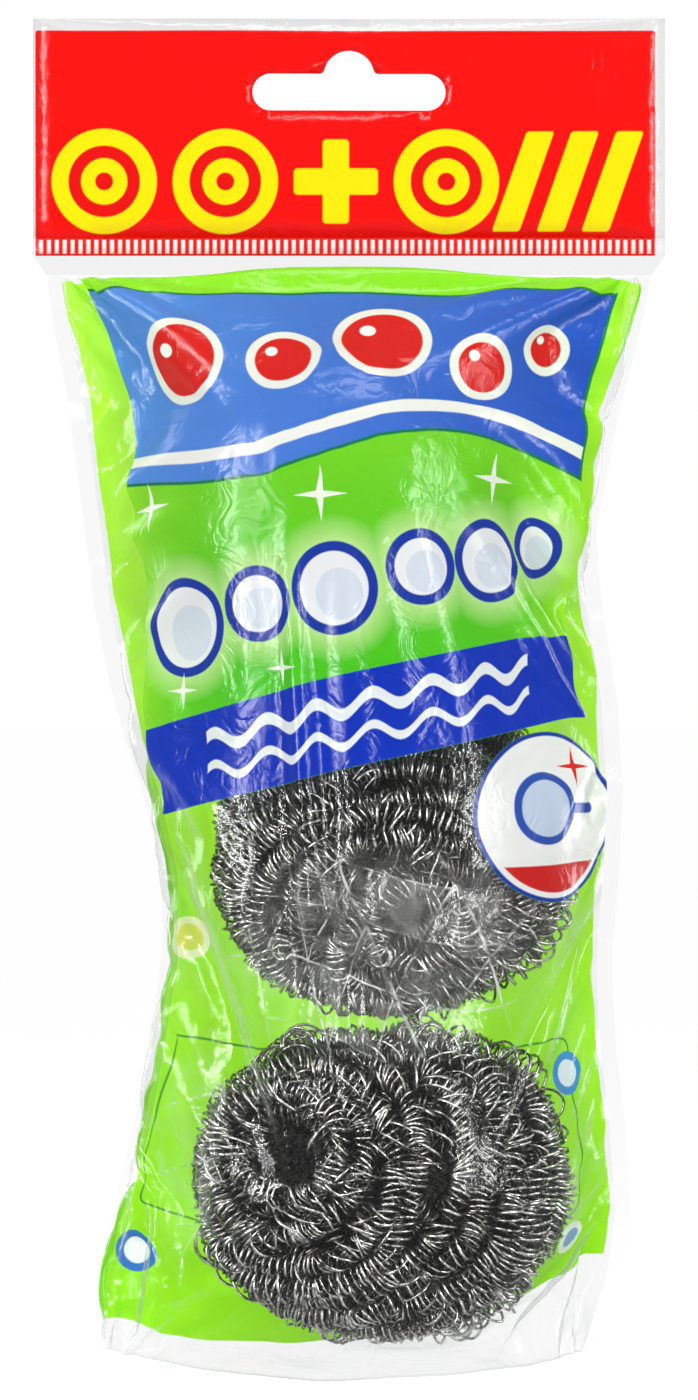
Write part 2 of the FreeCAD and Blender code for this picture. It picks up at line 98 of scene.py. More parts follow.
aim = Vector((0, 0, -0.1155))
distance, tall_seen, sensor = 1.2, 0.266, 24  # metres to the pack, metres in the picture, millimetres
eye = bpy.data.objects.new("photo_camera", bpy.data.cameras.new("photo_camera"))
eye.data.sensor_fit = "VERTICAL"
eye.data.sensor_height = sensor
eye.data.lens = sensor * distance / tall_seen
eye.location = aim + Vector((0, -distance, 0))
eye.rotation_euler = (math.pi / 2, 0, 0)
scene.collection.objects.link(eye)
scene.camera = eye
scene.view_settings.view_transform = "Standard"

for name, place, watts, wide, tall in (
    ("left_gleam", (-0.80, -0.66, 0.10), 17.0, 0.12, 0.8),
    ("right_gleam", (0.66, -0.80, -0.02), 13.0, 0.10, 0.8),
    ("left_strip", (-0.62, -0.75, 0.05), 4.8, 0.035, 0.9),
    ("right_strip", (0.75, -0.62, -0.05), 3.8, 0.03, 0.9),
    ("soft_box", (0.1, -0.55, 0.95), 7.5, 0.5, 0.25),
    ("rear_left_box", (-0.8, 0.62, 0.1), 8.0, 0.4, 0.9),
    ("rear_right_box", (0.8, 0.62, -0.05), 8.0, 0.4, 0.9),
):
    lamp = bpy.data.objects.new(name, bpy.data.lights.new(name, "AREA"))
    lamp.data.shape = "RECTANGLE"
    lamp.data.energy = watts
    lamp.data.size = wide
    lamp.data.size_y = tall
    lamp.location = place
    lamp.rotation_euler = (aim - Vector(place)).to_track_quat("-Z", "Y").to_euler()
    lamp.visible_diffuse = "gleam" not in name
    scene.collection.objects.link(lamp)


def looked_at(tree):
    # 1 for a ray that looks at the white itself: from the camera, off gloss or through clear film
    rays = add(tree, "LightPath")
    seen = add(tree, "Math", {
        0: rays.outputs["Is Camera Ray"], 1: rays.outputs["Is Glossy Ray"]}, operation="MAXIMUM")
    return add(tree, "Math", {0: seen, 1: rays.outputs["Is Transmission Ray"]}, operation="MAXIMUM")


room = bpy.data.worlds.new("white_room")
room.use_nodes = True
tree = room.node_tree
tree.nodes.clear()
level = add(tree, "MapRange", {"Value": looked_at(tree), "To Min": 0.2, "To Max": 1.0})
backdrop = add(tree, "Background", {"Color": (1, 1, 1, 1), "Strength": level})
add(tree, "OutputWorld", {"Surface": backdrop})
scene.world = room

# Matt white studio floor: diffuse, so it keeps the soft shadow, lifted to the room's white
floor_paint, tree = new_material("matt white floor paint")
lift = add(tree, "Math", {0: looked_at(tree), 1: 0.9}, operation="MULTIPLY")
matt = add(tree, "BsdfDiffuse", {"Color": linear("#F4F4F4")})
glow = add(tree, "Emission", {"Color": (1, 1, 1, 1), "Strength": 1.08})
add(tree, "OutputMaterial", {"Surface": add(tree, "MixShader", {"Fac": lift, 1: matt, 2: glow})})
floor_height, floor_radius = -0.27, 30
bm = bmesh.new()
bmesh.ops.create_circle(
    bm, cap_ends=True, segments=96, radius=floor_radius,
    matrix=Matrix.Translation((0, 0, floor_height)))
floor_mesh = mesh_from(bm, "studio_floor")
new_piece("studio_floor", floor_mesh, floor_paint)


# Scrubbers: one long coil of thin stainless wire, gathered by hand into a ball round a hollow.
# The coil lies in turns round the hollow, over looser turns that cross in all directions.
wire_radius = 0.00032


# Stainless wire drawn bright: mirror-like along each curl, its tone varying in random patches
def wire_finish(name, dark, light):
    material, tree = new_material(name)
    spot = add(tree, "TexCoord").outputs["Object"]
    patch = add(tree, "TexNoise", {"Vector": spot, "Scale": 1 / 0.0035, "Detail": 3.0})
    fine = add(tree, "TexNoise", {"Vector": spot, "Scale": 1 / 0.0007, "Detail": 1.0})
    tone = add(tree, "Math", {0: patch, 1: fine}, operation="MULTIPLY")
    tint = add(tree, "ValToRGB", {"Fac": tone})
    for stop, position, colour in zip(tint.color_ramp.elements, (0.14, 0.34), (dark, light)):
        stop.position = position
        stop.color = linear(colour)
    rough = add(tree, "MapRange", {
        "Value": patch, "From Min": 0.3, "From Max": 0.7, "To Min": 0.2, "To Max": 0.38})
    steel = add(tree, "BsdfPrincipled", {"Base Color": tint, "Metallic": 1.0, "Roughness": rough})
    add(tree, "OutputMaterial", {"Surface": steel})
    return material


outer_wire = wire_finish("drawn stainless wire", "#3C3C38", "#C4C3BF")
# The loose turns below get a darker copy of the same wire: painted shade, for the light that falls off
# inside the ball
inner_wire = wire_finish("shaded stainless wire", "#141413", "#6E6D6A")

# The imported inside of the ball: the same wire, packed so dense that little light comes back, painted
# dark as painted shade
dark_steel, tree = new_material("packed stainless wire")
spot = add(tree, "TexCoord").outputs["Object"]
tangle = add(tree, "TexNoise", {
    "Vector": spot, "Scale": 1 / 0.0012, "Detail": 4.0, "Distortion": 2.5})
tint = add(tree, "ValToRGB", {"Fac": tangle})
for stop, position, colour in zip(tint.color_ramp.elements, (0.42, 0.68), ("#0C0C0C", "#5A5957")):
    stop.position = position
    stop.color = linear(colour)
dent = add(tree, "Bump", {"Height": tangle, "Strength": 0.9, "Distance": 0.0008})
steel = add(tree, "BsdfPrincipled", {
    "Base Color": tint, "Metallic": 1.0, "Roughness": 0.55, "Normal": dent})
add(tree, "OutputMaterial", {"Surface": steel})

# The section of the wire, with three corners, which is round enough for a wire this thin
wire_bevel = bpy.data.curves.new("wire_bevel", "CURVE")
wire_bevel.dimensions = "2D"
ring = wire_bevel.splines.new("POLY")
ring.points.add(2)
for point, degrees in zip(ring.points, (90, 210, 330)):
    turn = math.radians(degrees)
    point.co = (wire_radius * math.cos(turn), wire_radius * math.sin(turn), 0, 1)
ring.use_cyclic_u = True
wire_section = bpy.data.objects.new("wire_section", wire_bevel)


def unit(ways):
    return ways / np.maximum(np.linalg.norm(ways, axis=-1, keepdims=True), 1e-9)


def wander(rng, count, smooth):
    # A smooth random line, with a knot every smooth points
    knots = rng.normal(size=int(count / smooth) + 4)
    place = np.linspace(0, len(knots) - 3.001, count)
    low = place.astype(int)
    part = place - low
    ease = part * part * (3 - 2 * part)
    return knots[low] * (1 - ease) + knots[low + 1] * ease


def coil(path, outward, rng, width, pitch, corners=9):
    # Winds a curl round a path of points, with a loop every pitch
    run = np.r_[0, np.cumsum(np.linalg.norm(np.diff(path, axis=0), axis=1))]
    count = int(run[-1] / pitch * corners)
    even = np.linspace(0, run[-1], count) + wander(rng, count, 40) * pitch * 0.9
    even = np.clip(even, 0, run[-1])
    centre = np.stack([np.interp(even, run, path[:, k]) for k in range(3)], 1)
    normal = unit(np.stack([np.interp(even, run, outward[:, k]) for k in range(3)], 1))
    along = unit(np.gradient(centre, axis=0))
    side = unit(np.cross(along, normal))
    lift = np.cross(side, along)
    turn = np.arange(count) * 2 * math.pi / corners + wander(rng, count, 30) * 0.5
    reach = width / 2 * (1 + 0.13 * wander(rng, count, 14) + 0.06 * wander(rng, count, 5))
    lean = wander(rng, count, 25) * 0.35
    return centre + reach[:, None] * (
        np.cos(turn)[:, None] * lift + np.sin(turn)[:, None] * (side + along * lean[:, None]))


def wire_pieces(name, points, finish, limit=27000):
    # A long wire is cut into pieces of at most limit points
    pieces = []
    parts = np.array_split(points, math.ceil(len(points) / limit))
    for index, part in enumerate(parts):
        line = bpy.data.curves.new(name, "CURVE")
        line.dimensions = "3D"
        line.bevel_mode = "OBJECT"
        line.bevel_object = wire_section
        line.use_fill_caps = True
        line.twist_mode = "MINIMUM"
        spline = line.splines.new("POLY")
        spline.points.add(len(part) - 1)
        spline.points.foreach_set("co", np.c_[part, np.ones(len(part))].ravel())
        holder = bpy.data.objects.new(name, line)
        scene.collection.objects.link(holder)
        bpy.context.view_layer.update()
        seen_now = holder.evaluated_get(bpy.context.evaluated_depsgraph_get())
        mesh = bpy.data.meshes.new_from_object(seen_now)
        bpy.data.objects.remove(holder)
        pieces.append(new_piece(f"{name}_{index + 1}", mesh, finish))
    return pieces


scene.collection.objects.link(wire_section)
for body, centre, wide, pole, seed, loose_turns in (
    ("bottom_scrubber", (0.0065, 0, -0.2075), 0.0365, (-0.0199, -0.0170, 0.0059), 5, 36),
    ("middle_scrubber", (0.008, 0, -0.1460), 0.035, (0.0030, -0.0189, -0.0143), 8, 36),
    ("top_scrubber", (-0.002, 0, -0.0845), 0.035, (0.0, -0.022, 0.0), 11, 22),
):
    rng = np.random.default_rng(seed)
    half = np.array((wide, 0.024, 0.0305))
    centre = np.array(centre)
    axis = unit(np.array(pole) / half)
    first = unit(np.cross(axis, (0.2, 0.1, 1.0)))
    second = np.cross(axis, first)

    def surface(ways, depth):
        # The ball is pressed from above, so its shoulders are fuller than an ellipse's
        power = 2.6
        square = (np.abs(ways[:, 0]) ** power + np.abs(ways[:, 2]) ** power) ** (-1 / power)
        fuller = square * np.hypot(ways[:, 0], ways[:, 2]) - 1
        share = (1 - ways[:, 1] ** 2) ** 2 * np.where(ways[:, 2] > 0, 1.0, 0.25)
        fuller = 1 + fuller * share
        skin = unit(ways / half)
        return centre + ways * half * fuller[:, None] - skin * depth[:, None], skin

    # Turns round the hollow, from its rim to the far end of the ball, with dark gaps between them
    count, turns = 7000, 14
    share = np.linspace(0, 1, count)
    tilt = 0.30 + share * (math.pi - 0.55) + wander(rng, count, 120) * 0.08
    angle = share * turns * 2 * math.pi
    ways = (np.cos(tilt)[:, None] * axis + np.sin(tilt)[:, None]
            * (np.cos(angle)[:, None] * first + np.sin(angle)[:, None] * second))
    depth = 0.0023 + 0.0020 * np.abs(wander(rng, count, 60))
    outer = coil(*surface(ways, depth), rng, width=0.0046, pitch=0.00128)

    # Loose turns that cross each other in all directions, most of them below those
    per_turn = 120
    count = loose_turns * per_turn
    spin = np.arange(count) * 2 * math.pi / per_turn
    heading = np.zeros((count, 3))
    now = rng.normal(size=3)
    for index in range(count):
        if index % per_turn == 0:
            push = rng.normal(size=3) * 0.9
        now = unit(now + push / per_turn + rng.normal(size=3) * 0.012)
        heading[index] = now
    across = unit(np.cross(heading, (0.31, 0.87, -0.38)))
    onward = np.cross(heading, across)
    tip = 0.25 * wander(rng, count, 200)[:, None] * heading
    ways = unit(np.cos(spin)[:, None] * across + np.sin(spin)[:, None] * onward + tip)
    # They leave the hollow open: a turn that would cross it runs along its rim
    hollow = 0.36
    near = ways @ axis
    rim_ways = math.cos(hollow) * axis + math.sin(hollow) * unit(ways - near[:, None] * axis)
    ways = np.where((near > math.cos(hollow))[:, None], rim_ways, ways)
    depth = np.clip(0.0062 - 0.0017 * wander(rng, count, 70), 0.0024, 0.0095)
    loose = coil(*surface(ways, depth), rng, width=0.0044, pitch=0.0013)

    # Stray curls that have sprung open, standing out most at the sides, where the film leaves room
    count, turns = 900, 6
    spin = np.linspace(0, turns * 2 * math.pi, count)
    sway = np.stack([wander(rng, count, 110) for _ in range(3)], 1)
    ways = unit(
        np.cos(spin)[:, None] * first + np.sin(spin * 1.13)[:, None] * second
        + np.sin(spin * 0.61)[:, None] * axis + 0.6 * sway)
    depth = 0.0020 + 0.0018 * np.abs(ways[:, 1])
    stray = coil(*surface(ways, depth), rng, width=0.0062, pitch=0.0034, corners=18)

    outer_pieces = wire_pieces(f"{body}_turns", outer, outer_wire)
    outer_pieces += wire_pieces(f"{body}_stray_curls", stray, outer_wire)
    loose_pieces = wire_pieces(f"{body}_loose_turns", loose, inner_wire)

    # Packed inside, hollowed under the ring of curls
    bm = bmesh.new()
    bmesh.ops.create_icosphere(bm, subdivisions=5, radius=1)
    for vert in bm.verts:
        way = np.array(vert.co)
        hollowed = max(0.0, (float(way @ axis) - 0.94) / 0.06) ** 0.7
        sink = 0.0085 + 0.0012 * noise.noise(vert.co * 7) + 0.011 * hollowed
        vert.co = centre + way * (half - sink)
    inside = new_piece(f"{body}_inside", mesh_from(bm, f"{body}_inside"), dark_steel)

    for piece in outer_pieces + loose_pieces + [inside]:
        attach(piece, body)
    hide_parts(f"{body}_winding")
    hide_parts(f"{body}_rosette")
    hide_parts(f"{body}_core")
bpy.data.objects.remove(wire_section)


# Bag: one web of clear polypropylene film, printed, folded at the bottom and welded along both
# sides. The scrubbers push it out, so its edges draw in and the film creases between them.
# All its lengths are in millimetres.
mm = 0.001
sim_mm = 0.01  # the cloth solver runs at ten times life size, where its limits suit a thin film
neck_z, film_drop, film_half, weld = -34.8, 226.0, 60.0, 3.0
# The hanging outline, by height: left edge, right edge
outline = np.array([
    (-34.8, -57.4, 57.4), (-44, -56.2, 55.6), (-60, -53.2, 51.5), (-84, -50.1, 46.8),
    (-100, -48.0, 48.4), (-116, -44.6, 51.0), (-132, -39.4, 52.0), (-148, -35.5, 51.4),
    (-164, -35.6, 49.9), (-180, -38.0, 50.6), (-196, -41.0, 52.4), (-212, -45.0, 53.6),
    (-224, -48.0, 52.0), (-236, -49.5, 48.5), (-239, -48.5, 46.5),
])
# The folded bottom edge, by place across
fold_line = np.array([
    (-48.5, -239), (-30, -243.0), (-5, -245.6), (20, -244.5), (38, -241.6), (46.5, -239.0)])

# The flat web, whose faces are numbered by piece: front, back, left weld, right weld, bottom fold
bm = bmesh.new()
bmesh.ops.create_grid(bm, x_segments=60, y_segments=113, size=0.5)
for vert in bm.verts:
    across = vert.co.x * 2 * film_half
    if abs(across) < film_half - 1:
        across *= (film_half - weld) / (film_half - 2)
    vert.co = (across, 0, neck_z - film_drop * (0.5 - vert.co.y))
flat_map = bm.loops.layers.uv.new("film")
for face in bm.faces:
    for corner in face.loops:
        corner[flat_map].uv = (corner.vert.co.x, neck_z - corner.vert.co.z)
    x = face.calc_center_median().x
    face.material_index = 2 + (x > 0) if abs(x) > film_half - weld else 0
copied = bmesh.ops.duplicate(bm, geom=bm.verts[:] + bm.edges[:] + bm.faces[:])["geom"]
back_faces = [item for item in copied if isinstance(item, bmesh.types.BMFace)]
bmesh.ops.delete(bm, geom=[face for face in back_faces if face.material_index], context="FACES")
back_faces = [face for face in back_faces if face.is_valid]
for face in back_faces:
    face.material_index = 1
bmesh.ops.reverse_faces(bm, faces=back_faces)
for face in bm.faces:
    if face.calc_center_median().z < neck_z - film_drop + 2:
        face.material_index = 4
rim = [
    vert for vert in bm.verts if abs(vert.co.x) > film_half - weld - 0.1
    or vert.co.z > neck_z - 0.1 or vert.co.z < neck_z - film_drop + 0.1
]
back_verts = {vert for face in back_faces for vert in face.verts}
rng = np.random.default_rng(3)
rim_verts = set(rim)
for vert in bm.verts:
    if vert not in rim_verts:
        vert.co.y = (1.3 + 0.5 * rng.random()) * (1 if vert in back_verts else -1)
bmesh.ops.remove_doubles(bm, verts=rim, dist=0.01)
pouch_mesh = mesh_from(bm, "pouch")

# Where each point of the flat web goes when the bag is filled
flat = np.array([vert.co[:] for vert in pouch_mesh.vertices])
down = neck_z - flat[:, 2]
height = neck_z + (outline[-1, 0] - neck_z) * down / film_drop
left = np.interp(-height, -outline[:, 0], outline[:, 1])
right = np.interp(-height, -outline[:, 0], outline[:, 2])
inset = film_half - np.abs(flat[:, 0])
on_weld, on_fold = inset < weld + 0.1, down > film_drop - 0.1
part = np.clip(flat[:, 0] / (film_half - weld), -1, 1)
bow = np.sin(part * math.pi / 2)
filled = flat.copy()
filled[:, 0] = np.where(
    on_weld, np.where(flat[:, 0] < 0, left + inset, right - inset),
    (left + right) / 2 + bow * ((right - left) / 2 - weld))
bulge = 26
swell = bulge * np.clip(np.sin(np.clip(down / film_drop, 0, 1) * math.pi), 0, 1) ** 0.45
filled[:, 1] = np.sign(flat[:, 1]) * swell * np.sqrt(np.clip(1 - bow ** 2, 0, 1))
ripple = 1.2 * np.sin(down / 31 * 2 * math.pi + 0.7) + 0.8 * np.sin(down / 17 * 2 * math.pi + 2.1)
ripple *= np.sign(flat[:, 0]) * np.clip(down / 25, 0, 1)
filled[:, 1] += np.where(on_weld, ripple, 0)
sag = np.interp(filled[:, 0], fold_line[:, 0], fold_line[:, 1]) - outline[-1, 0]
filled[:, 2] = height + sag * (down / film_drop) ** 3
filled[:, 1] += np.where(on_fold, 1.5 * np.sin(filled[:, 0] / 9), 0)

# The film is settled over the scrubbers by a cloth simulation, which gives it its creases
full_at, settled_at = 55, 80  # frames
pouch = bpy.data.objects.new("pouch", pouch_mesh.copy())
scene.collection.objects.link(pouch)
held = pouch.vertex_groups.new(name="held")
held.add(np.where(on_weld | on_fold | (down < 0.1))[0].tolist(), 1.0, "REPLACE")
pouch.data.vertices.foreach_set("co", (flat * sim_mm).ravel())
pouch.shape_key_add(name="flat")
drawn = pouch.shape_key_add(name="drawn_in")
drawn.data.foreach_set("co", (filled * sim_mm).ravel())
for key_frame, share in ((1, 0.0), (full_at, 1.0)):
    drawn.value = share
    drawn.keyframe_insert("value", frame=key_frame)
# Balls as large as the scrubbers with room for their lift, which swell inside the flat web
balls = []
for x, z, wide, lift in ((6.5, -207.5, 37.5, 3), (8, -146, 36, 6), (-2, -84.5, 36, 9)):
    bm = bmesh.new()
    bmesh.ops.create_uvsphere(bm, u_segments=48, v_segments=24, radius=1)
    for vert in bm.verts:
        x_way, y_way, z_way = vert.co
        raised = lift if z_way > 0.01 else 0
        vert.co = Vector((x_way * wide, y_way * 25.2, z_way * 31.2 + raised)) * sim_mm
    ball = bpy.data.objects.new("ball", mesh_from(bm, "ball"))
    scene.collection.objects.link(ball)
    ball.location = (x * sim_mm, 0, z * sim_mm)
    for key_frame, deep in ((1, 0.02), (full_at, 1.0)):
        ball.scale = (1, deep, 1)
        ball.keyframe_insert("scale", frame=key_frame)
    ball.modifiers.new("solid", "COLLISION")
    ball.collision.thickness_outer = 0.004
    ball.collision.thickness_inner = 0.05
    ball.collision.cloth_friction = 5
    balls.append(ball)
cloth = pouch.modifiers.new("film", "CLOTH")
cloth.settings.quality = 7
cloth.settings.mass = 0.2
cloth.settings.air_damping = 2
cloth.settings.tension_stiffness = 40
cloth.settings.compression_stiffness = 40
cloth.settings.shear_stiffness = 20
cloth.settings.bending_stiffness = 2
cloth.settings.tension_damping = 10
cloth.settings.compression_damping = 10
cloth.settings.vertex_group_mass = "held"
cloth.collision_settings.distance_min = 0.006
cloth.collision_settings.collision_quality = 3
cloth.collision_settings.friction = 5
cloth.point_cache.frame_end = settled_at
scene.gravity = (0, 0, -1)
for step in range(1, settled_at + 1):
    scene.frame_set(step)
settled = pouch.evaluated_get(bpy.context.evaluated_depsgraph_get()).to_mesh()
filled = np.array([vert.co[:] for vert in settled.vertices]) / sim_mm
for item in [pouch] + balls:
    bpy.data.objects.remove(item)
scene.frame_set(1)


# Print on the film. Each motif is a distance in millimetres on the flat web, below 0 inside it
def disc(tree, place, x, y, radius):
    far = add(tree, "VectorMath", {0: place, 1: (x, y, 0)}, operation="DISTANCE")
    return add(tree, "Math", {0: far.outputs["Value"], 1: radius}, operation="SUBTRACT")


def above_line(tree, place, start, slope):
    # Inside is above the line that crosses the middle this far down and rises to the right
    far = add(tree, "VectorMath", {0: place, 1: (slope, 1, 0)}, operation="DOT_PRODUCT")
    return add(tree, "Math", {0: far.outputs["Value"], 1: start}, operation="SUBTRACT")


def round_box(tree, place, x, y, wide, tall, corner):
    away = add(tree, "VectorMath", {0: place, 1: (x, y, 0)}, operation="SUBTRACT")
    away = add(tree, "VectorMath", {0: away}, operation="ABSOLUTE")
    inner = (wide / 2 - corner, tall / 2 - corner, 9)
    away = add(tree, "VectorMath", {0: away, 1: inner}, operation="SUBTRACT")
    away = add(tree, "VectorMath", {0: away, 1: (0, 0, 0)}, operation="MAXIMUM")
    away = add(tree, "VectorMath", {0: away}, operation="LENGTH")
    return add(tree, "Math", {0: away.outputs["Value"], 1: corner}, operation="SUBTRACT")


def sparkle(tree, place, x, y, reach):
    away = add(tree, "VectorMath", {0: place, 1: (x, y, 0)}, operation="SUBTRACT")
    away = add(tree, "VectorMath", {0: away}, operation="ABSOLUTE")
    slim = 7  # each arm is this many times as long as it is thick
    tall = add(tree, "VectorMath", {0: away, 1: (slim, 1, 0)}, operation="DOT_PRODUCT")
    wide = add(tree, "VectorMath", {0: away, 1: (1, slim, 0)}, operation="DOT_PRODUCT")
    star = add(tree, "Math", {0: tall.outputs["Value"], 1: wide.outputs["Value"]}, operation="MINIMUM")
    return add(tree, "Math", {0: star, 1: reach}, operation="SUBTRACT")


def inked(tree, distance, edge=0.12):
    return add(tree, "MapRange", {"Value": distance, "From Min": edge, "From Max": -edge})


def paint(tree, ground, layers):
    # Lays each motif over those before it, in its ink
    for distance, ink in layers:
        ground = add(tree, "MixRGB", {"Fac": inked(tree, distance), "Color1": ground, "Color2": ink})
    return ground


# Cast polypropylene film: clear and glossy, a little milky, whiter where it is seen edge on.
# Ink is printed on its inner face, so the same gloss lies over the colours.
def film_finish(name, artwork, place_from, through):
    material, tree = new_material(name)
    coordinates = add(tree, "TexCoord")
    # Fine crinkles 4 to 9 mm long lie all over the film
    crinkle = add(tree, "TexNoise", {
        "Vector": coordinates.outputs["Object"], "Scale": 1 / 0.007, "Detail": 3.0, "Distortion": 1.2})
    ridge = add(tree, "Math", {0: crinkle, 1: 0.5}, operation="SUBTRACT")
    ridge = add(tree, "Math", {0: ridge}, operation="ABSOLUTE")
    dent = add(tree, "Bump", {"Height": ridge, "Strength": 0.4, "Distance": 0.0012})
    gloss = add(tree, "BsdfGlossy", {"Color": (1, 1, 1, 1), "Roughness": 0.11, "Normal": dent})
    # A thin sheet mirrors alike from both faces, so its mirror follows the facing angle
    facing = add(tree, "LayerWeight", {"Blend": 0.5, "Normal": dent}).outputs["Facing"]
    mirror = add(tree, "Math", {0: facing, 1: 5.0}, operation="POWER")
    mirror = add(tree, "Math", {0: mirror, 1: 0.5, 2: 0.011}, operation="MULTIPLY_ADD")
    slant = add(tree, "Math", {0: facing, 1: 3.0}, operation="POWER")
    # Along each fold a white line about half a millimetre wide: partly the film's own whitening
    # at the fold, partly painted highlight. Each facet of the crumpled film gets a painted sheen
    # of its own
    crumple = add(tree, "Attribute", attribute_name="crumple").outputs["Fac"]
    folds = add(tree, "Attribute", attribute_name="creases").outputs["Vector"]
    cell = add(tree, "VectorMath", {0: folds}, operation="FLOOR")
    cell = add(tree, "TexWhiteNoise", {"Vector": cell})
    cell = add(tree, "MapRange", {
        "Value": cell, "From Min": 0.2, "From Max": 1.0, "To Min": 0.13, "To Max": 0.34})
    patchy = add(tree, "MapRange", {"Value": crinkle, "From Min": 0.25, "From Max": 0.7})
    cell = add(tree, "Math", {0: cell, 1: patchy}, operation="MULTIPLY")
    folds = add(tree, "SeparateXYZ", {0: folds})
    near = [
        add(tree, "Math", {0: folds.outputs[key], 1: 0.5}, operation="PINGPONG") for key in "XYZ"]
    nearest = add(tree, "Math", {0: near[0], 1: near[1]}, operation="MINIMUM")
    nearest = add(tree, "Math", {0: nearest, 1: near[2]}, operation="MINIMUM")
    line = add(tree, "MapRange", {
        "Value": nearest, "From Min": 0.026, "From Max": 0.0, "To Max": 0.7})
    line = add(tree, "Math", {0: line, 1: ridge}, operation="MULTIPLY")
    line = add(tree, "Math", {0: line, 1: 9.0}, operation="MULTIPLY", use_clamp=True)
    fold_white_and_sheen = add(tree, "Math", {0: cell, 1: line}, operation="ADD", use_clamp=True)
    crumple_weight = add(tree, "Math", {0: crumple, 1: 2.0}, operation="POWER")
    fold_white_and_sheen = add(tree, "Math", {0: fold_white_and_sheen, 1: crumple_weight}, operation="MULTIPLY")
    # The milk holds the haze seen edge on, plus the painted highlight and sheen on the folds
    milk_and_sheen = add(tree, "Math", {0: slant, 1: 0.4, 2: fold_white_and_sheen}, operation="MULTIPLY_ADD")
    milk_and_sheen = add(tree, "Math", {0: milk_and_sheen, 1: 0.004}, operation="ADD", use_clamp=True)
    # The clear film takes about 6 % of the light, and more where it is seen edge on
    tint = add(tree, "MixRGB", {
        "Fac": slant, "Color1": linear("#F8F8F8"), "Color2": linear("#D4D9D9")})
    clear = add(tree, "BsdfTransparent", {"Color": tint})
    white = linear("#FAFAFA")
    haze = add(tree, "MixShader", {
        "Fac": 0.5, 1: add(tree, "BsdfDiffuse", {"Color": white}),
        2: add(tree, "BsdfTranslucent", {"Color": white})})
    body = add(tree, "MixShader", {"Fac": milk_and_sheen, 1: clear, 2: haze})
    body = add(tree, "MixShader", {"Fac": mirror, 1: body, 2: gloss})
    if artwork:
        colour, cover = artwork(tree, place_from(tree, coordinates))
        ink = add(tree, "BsdfPrincipled", {
            "Base Color": colour, "Roughness": 0.19, "IOR": 1.27, "Normal": dent})
        # Ink this thin lets some of the light behind it through
        ink = add(tree, "MixShader", {
            "Fac": through, 1: ink, 2: add(tree, "BsdfTranslucent", {"Color": colour})})
        body = add(tree, "MixShader", {"Fac": cover, 1: body, 2: ink})
    add(tree, "OutputMaterial", {"Surface": body})
    return material


def web_place(tree, coordinates):
    return coordinates.outputs["UV"]


